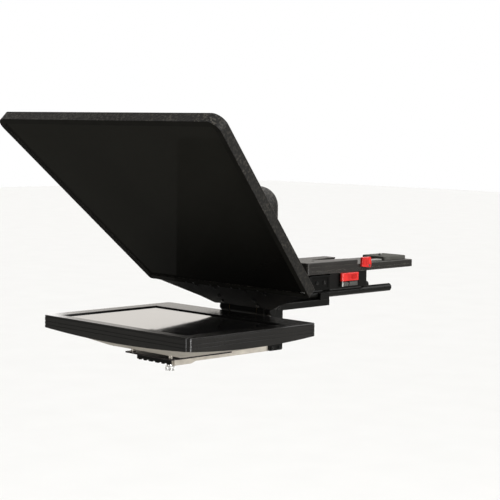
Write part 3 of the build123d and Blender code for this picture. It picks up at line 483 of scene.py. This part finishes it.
def closed_bead(points, radius, name, body, slot, sides=8):
    """A round bead that follows a closed loop of points."""
    nearly_upright = 0.1
    grid = bmesh.new()
    rings = []
    count = len(points)
    for index, point in enumerate(points):
        along = (points[(index + 1) % count] - points[index - 1]).normalized()
        side = along.cross(Vector((0, 0, 1)))
        if side.length < nearly_upright:
            side = along.cross(Vector((0, 1, 0)))
        side.normalize()
        over = side.cross(along)
        turns = [2 * pi * step / sides for step in range(sides)]
        rings.append([grid.verts.new(point + radius * (cos(turn) * side + sin(turn) * over))
                      for turn in turns])
    for index in range(count):
        first, second = rings[index], rings[(index + 1) % count]
        for step in range(sides):
            following = (step + 1) % sides
            grid.faces.new((first[step], first[following], second[following], second[step]))
    piece_from(grid, name, body, slot, sharp=60)


def add_box(grid, low, high, bevel, turn=None):
    """Add a box with rounded edges to a bmesh, turned by a matrix if one is given."""
    made = bmesh.ops.create_cube(grid, size=1.0)
    low, high = Vector(low), Vector(high)
    for vert in made["verts"]:
        vert.co = Vector([low[axis] + (vert.co[axis] + 0.5) * (high[axis] - low[axis])
                          for axis in range(3)])
    if turn:
        bmesh.ops.transform(grid, matrix=turn, verts=made["verts"])
    edges = {edge for vert in made["verts"] for edge in vert.link_edges}
    rounded(grid, list(edges), bevel, BOX_EDGE)


def add_lathe(grid, outline, place, steps=96):
    """Turn an outline of (radius, height) points round the local Z of a placing matrix."""
    rings = []
    for step in range(steps):
        turn = 2 * pi * step / steps
        rings.append([
            grid.verts.new(place @ Vector((radius * cos(turn), radius * sin(turn), height)))
            for radius, height in outline])
    count = len(outline)
    for step in range(steps):
        first, second = rings[step], rings[(step + 1) % steps]
        for index in range(count):
            following = (index + 1) % count
            grid.faces.new((first[index], second[index], second[following], first[following]))


def facing(place, normal):
    """A placing matrix at a point whose local Z is a normal and whose local X lies across."""
    up = Vector(normal).normalized()
    right = Vector((1, 0, 0))
    right = (right - right.dot(up) * up).normalized()
    return Matrix.Translation(place) @ Matrix((right, up.cross(right), up)).transposed().to_4x4()


# ---------------------------------------------------------------- CAD nodes, with rounded edges
EDGE_WIDTH = 0.0003
EDGE_WIDTHS = {
    "hood_rim": 0.0009, "hood_shroud": 0.0008, "riser_block": 0.0008, "chin_plate": 0.0006,
    "rear_cover": 0.0006, "riser_front": 0.0006, "riser_lever": 0.0006, "base_plate": 0.0005,
    "camera_plate": 0.0005, "camera_shoe": 0.0005, "plate_lever": 0.0005, "rim_screws": 0.00025,
    "monitor_frame": 0.0002, "screen_glass": 0.0002,
}
HIDDEN_INSIDE = {"lcd_panel", "driver_board"}
for node in sorted(frame["nodes"]):
    if node not in HIDDEN_INSIDE:
        refined(node, EDGE_WIDTHS.get(node, EDGE_WIDTH))


# ---------------------------------------------------------------- hood details
RIM_DEPTH = 0.018
BEAD_INSET, BEAD_RADIUS = 0.0004, 0.0008
rim_low, rim_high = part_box("hood_rim")
rim_bottom_y = rim_high.y - RIM_DEPTH * ROOT_HALF
rim_bottom_z = rim_low.z


def on_rim(across, along, depth):
    """A point from its place across the hood, up its slant and behind its front face."""
    return Vector((across, rim_bottom_y + (depth - along) * ROOT_HALF,
                   rim_bottom_z + (depth + along) * ROOT_HALF))


def rim_coordinates(point):
    """The place across the hood and up its slant of a point in the frame."""
    rise = point.z - rim_bottom_z
    back = point.y - rim_bottom_y
    return Vector((point.x, (rise - back) * ROOT_HALF))


def rim_outline(inset):
    """The CAD rim's outline, pulled in all round, as places across the hood and up its slant."""
    places = [rim_coordinates(vert.co) for vert in frame["nodes"]["hood_rim"].data.vertices]
    loop = [places[index] for index in convex_hull_2d(places)]
    shaped = []
    for index, place in enumerate(loop):
        before = (place - loop[index - 1]).normalized()
        after = (loop[(index + 1) % len(loop)] - place).normalized()
        along = (before + after).normalized()
        inward = Vector((-along.y, along.x))
        shaped.append(place + inward * inset)
    return shaped


# a round trim along the rim's rear edge, in the lighter grey plate finish so that it shows as a
# bright line: a painted highlight
bead_line = [on_rim(place.x, place.y, RIM_DEPTH) for place in rim_outline(BEAD_INSET)]
closed_bead(bead_line, BEAD_RADIUS, "rim_edge_highlight_bead", "hood", "plate_grey")


def glass_border():
    """Gloss black border tape round the glass, over the rim's front lip."""
    outer, inner = rim_outline(0.0007), rim_outline(0.0112)
    front, back = -0.0003, 0.0001
    grid = bmesh.new()
    loops = [[grid.verts.new(on_rim(place.x, place.y, depth)) for place in places]
             for places, depth in ((outer, front), (inner, front), (inner, back), (outer, back))]
    count = len(outer)
    for index in range(count):
        following = (index + 1) % count
        for near, far in ((0, 1), (1, 2), (2, 3), (3, 0)):
            grid.faces.new((loops[near][index], loops[near][following],
                            loops[far][following], loops[far][index]))
    piece_from(grid, "glass_border", "hood", "retainer_black", look=border_tape())


glass_border()


def corner_clips():
    """Small bright spring clips at the glass frame's lower corners."""
    half_width, edge = 0.0042, 0.0005
    far_clip = (-0.182, (-0.0022, 0.0), (0.0004, 0.0075))
    near_clip = (0.204, (0.0135, 0.0165), (-0.0014, 0.0002))
    grid = bmesh.new()
    for across, (low, high), (front, back) in (far_clip, near_clip):
        corner = facing(on_rim(across, 0, 0), (0, -1, -1))
        add_box(grid, (-half_width, low, -back), (half_width, high, -front), edge, corner)
    piece_from(grid, "corner_clips", "hood", "knurled_steel")


corner_clips()


def collar_bellows():
    """Soft rubber rings inside the round opening, which close round a lens barrel."""
    rings, pitch, crest, facets = 4, 0.0036, 0.0022, 6
    collar_wall, thickness, lip, start = 0.0110, 0.0006, -0.0004, -0.0010
    low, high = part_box("lens_collar")
    centre = (low + high) / 2
    bore = (high.x - low.x) / 2 - collar_wall
    place = facing(Vector((centre.x, high.y, centre.z)), (0, 1, 0))
    outline = []
    for ring in range(rings):
        for step in range(facets):
            turn = pi * step / facets
            outline.append((bore - crest * sin(turn), start - pitch * (ring + step / facets)))
    outline.append((bore + thickness, start - pitch * rings))
    outline.append((bore + thickness, lip))
    grid = bmesh.new()
    add_lathe(grid, outline, place)
    piece_from(grid, "collar_bellows", "hood", "gasket_rubber", sharp=50)


collar_bellows()


def shroud_rivets():
    """Snap rivets that pin the shroud's front edge inside the rim, all round."""
    spacing, inset, head, rise, sunk, facets = 0.048, 0.0026, 0.0036, 0.0012, -0.0005, 20
    centre = 0.0001
    outline = [(centre, rise), (head * 0.3, rise), (head * 0.52, rise * 0.7), (head * 0.6, 0),
               (head * 0.6, sunk), (centre, sunk)]
    grid = bmesh.new()
    loop = rim_outline(inset)
    for index, place in enumerate(loop):
        following = loop[(index + 1) % len(loop)]
        span = following - place
        count = int(span.length / spacing)
        for step in range(count):
            at = place + span * ((step + 0.5) / count)
            seat = facing(on_rim(at.x, at.y, RIM_DEPTH), (0, 1, 1))
            add_lathe(grid, outline, seat, facets)
    piece_from(grid, "shroud_rivets", "hood", "plated_steel", sharp=50)


shroud_rivets()


# ---------------------------------------------------------------- monitor details
def cover_louvres():
    """Cooling louvres on the monitor's back, on both sides of the slide plate."""
    count, half_length, half_width, edge = 13, 0.012, 0.0016, 0.0006
    lift, sunk, gap, end_margin = 0.0013, 0.0006, 0.005, 0.012
    low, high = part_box("slide_plate")
    cover_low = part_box("rear_cover")[0].z
    tilt = Matrix.Rotation(radians(14), 4, "X")
    grid = bmesh.new()
    for side in (-1, 1):
        for step in range(count):
            y = low.y + end_margin + step * (high.y - low.y - 2 * end_margin) / (count - 1)
            x = side * (high.x + gap + half_length)
            add_box(grid, (-half_length, -half_width, -lift), (half_length, half_width, sunk), edge,
                    Matrix.Translation((x, y, cover_low)) @ tilt)
    piece_from(grid, "cover_louvres", "monitor", "cover_light")


cover_louvres()


# ---------------------------------------------------------------- camera carriage details
def lever_grips():
    """Finger ribs on the two red levers."""
    half_width, edge = 0.0008, 0.0004
    riser_low, riser_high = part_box("riser_lever")
    plate_low, plate_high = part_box("plate_lever")
    rib_rows = (
        ("riser_lever", 5, (riser_low.y + 0.030, riser_high.y - 0.006),
         (riser_low.z + 0.003, riser_high.z - 0.003),
         (riser_high.x - 0.0024, riser_high.x - 0.0002)),
        ("plate_lever", 4, (plate_low.y + 0.004, plate_low.y + 0.018),
         (plate_low.z + 0.006, plate_high.z - 0.004),
         (plate_high.x - 0.0004, plate_high.x + 0.0007)),
    )
    for node, count, (start, stop), (bottom, top), (base, tip) in rib_rows:
        grid = bmesh.new()
        for step in range(count):
            y = start + (stop - start) * step / (count - 1)
            add_box(grid, (base, y - half_width, bottom), (tip, y + half_width, top), edge)
        piece_from(grid, f"{node}_grips", body_of[node], "lever_red")


lever_grips()


def plate_scale():
    """Plain graduation ticks along the camera plate's near side."""
    count, pitch, first, foot = 49, 0.005, 0.030, 0.0012
    long_every, long_tick, short_tick = 5, 0.0042, 0.0024
    half_width, sunk, proud, edge = 0.0002, 0.0003, 0.0001, 0.00005
    low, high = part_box("camera_plate")
    bottom = low.z + foot
    grid = bmesh.new()
    for step in range(count):
        y = low.y + first + step * pitch
        rise = short_tick if step % long_every else long_tick
        add_box(grid, (high.x - sunk, y - half_width, bottom),
                (high.x + proud, y + half_width, bottom + rise), edge)
    piece_from(grid, "plate_scale", "plate", "plated_steel")


plate_scale()


# ---------------------------------------------------------------- studio
FLOOR_DROP = 1.3
FLOOR_HALF = 30.0
FLOOR_BOUNCE = (0.30, 0.295, 0.28)          # the floor's colour for all but camera rays
BACKDROP_TOWARDS = (-0.74, 0.66, 0.10)
BACKDROP_COSINES = (0.50, 0.90)             # where the backdrop begins, where it is full
BACKDROP_STRENGTHS = (0.05, 0.9)            # the dim room, the full backdrop
BACKDROP_WARMTH = (1, 0.955, 0.90, 1)
CEILING_STRENGTH = 3.2
LOW_AIM = (0.2, -0.43, 0.0)                 # the monitor's near corner
LAMPS = (                                   # name, place, aim, size, watts
    ("side_softbox", (2.3, 1.3, 0.9), (0.1, 0.0, 0.1), (1.0, 1.6), 26.0),
    ("left_softbox", (-2.4, 0.6, 0.8), (0, -0.2, 0.1), (1.2, 1.4), 10.0),
    ("front_strip", (-0.2, -3.2, 0.1), LOW_AIM, (0.8, 1.4), 18.0),
    ("right_strip", (3.0, -0.3, 0.1), LOW_AIM, (0.8, 1.4), 52.0),
)


def make_floor():
    """A plain pale floor, well below the object, which throws back only part of the light."""
    grid = bmesh.new()
    bmesh.ops.create_grid(grid, x_segments=1, y_segments=1, size=FLOOR_HALF)
    mesh = bpy.data.meshes.new("studio_floor")
    grid.to_mesh(mesh)
    grid.free()
    look = Look("studio_floor", (0.86, 0.86, 0.85), 0.9, Specular_IOR_Level=0.0)
    pale = look.mix(look.noise(3, 2), (0.84, 0.84, 0.83), (0.88, 0.88, 0.87))
    path = look.tree.nodes.new("ShaderNodeLightPath")
    look.paint(look.mix(path.outputs["Is Camera Ray"], FLOOR_BOUNCE, pale))
    mesh.materials.append(look.mat)
    floor = bpy.data.objects.new("studio_floor", mesh)
    floor.location.z = cad_low.z - FLOOR_DROP
    bpy.context.scene.collection.objects.link(floor)


def make_world():
    """Plain white to the camera; a warm backdrop behind, in a dim room, for what is reflected."""
    world = bpy.data.worlds.new("studio_world")
    bpy.context.scene.world = world
    world.use_nodes = True
    tree = world.node_tree
    backdrop = tree.nodes["Background"]
    place = tree.nodes.new("ShaderNodeTexCoord")
    towards = tree.nodes.new("ShaderNodeVectorMath")
    towards.operation = "DOT_PRODUCT"
    towards.inputs[1].default_value = BACKDROP_TOWARDS
    tree.links.new(place.outputs["Generated"], towards.inputs[0])
    shade = tree.nodes.new("ShaderNodeMapRange")
    for socket, number in zip(("From Min", "From Max", "To Min", "To Max"),
                              BACKDROP_COSINES + BACKDROP_STRENGTHS):
        shade.inputs[socket].default_value = number
    tree.links.new(towards.outputs["Value"], shade.inputs["Value"])
    path = tree.nodes.new("ShaderNodeLightPath")
    seen = tree.nodes.new("ShaderNodeMix")
    tree.links.new(path.outputs["Is Camera Ray"], seen.inputs["Factor"])
    tree.links.new(shade.outputs["Result"], seen.inputs["A"])
    seen.inputs["B"].default_value = 1.0
    tree.links.new(seen.outputs["Result"], backdrop.inputs["Strength"])
    tint = tree.nodes.new("ShaderNodeMix")
    tint.data_type = "RGBA"
    tree.links.new(path.outputs["Is Camera Ray"], tint.inputs["Factor"])
    warm, white = [socket for socket in tint.inputs if socket.type == "RGBA"]
    warm.default_value = BACKDROP_WARMTH
    white.default_value = (1, 1, 1, 1)
    tinted = [socket for socket in tint.outputs if socket.type == "RGBA"][0]
    tree.links.new(tinted, backdrop.inputs["Color"])


def softbox(name, place, aim, size, watts):
    """A large soft lamp at a place, aimed at a point."""
    data = bpy.data.lights.new(name, "AREA")
    data.shape = "RECTANGLE"
    data.size, data.size_y = size
    data.energy = watts
    lamp = bpy.data.objects.new(name, data)
    lamp.location = place
    lamp.rotation_mode = "QUATERNION"
    lamp.rotation_quaternion = (Vector(aim) - Vector(place)).to_track_quat("-Z", "Y")
    bpy.context.scene.collection.objects.link(lamp)


def ceiling_light():
    """Even light from the whole ceiling, which keeps the floor pale out to the horizon."""
    data = bpy.data.lights.new("ceiling_light", "SUN")
    data.energy = CEILING_STRENGTH
    data.angle = radians(100)
    lamp = bpy.data.objects.new("ceiling_light", data)
    lamp.rotation_euler = (radians(-18), radians(12), 0)
    bpy.context.scene.collection.objects.link(lamp)


make_floor()
make_world()
ceiling_light()
for lamp in LAMPS:
    softbox(*lamp)

bpy.context.scene.view_settings.view_transform = "Standard"
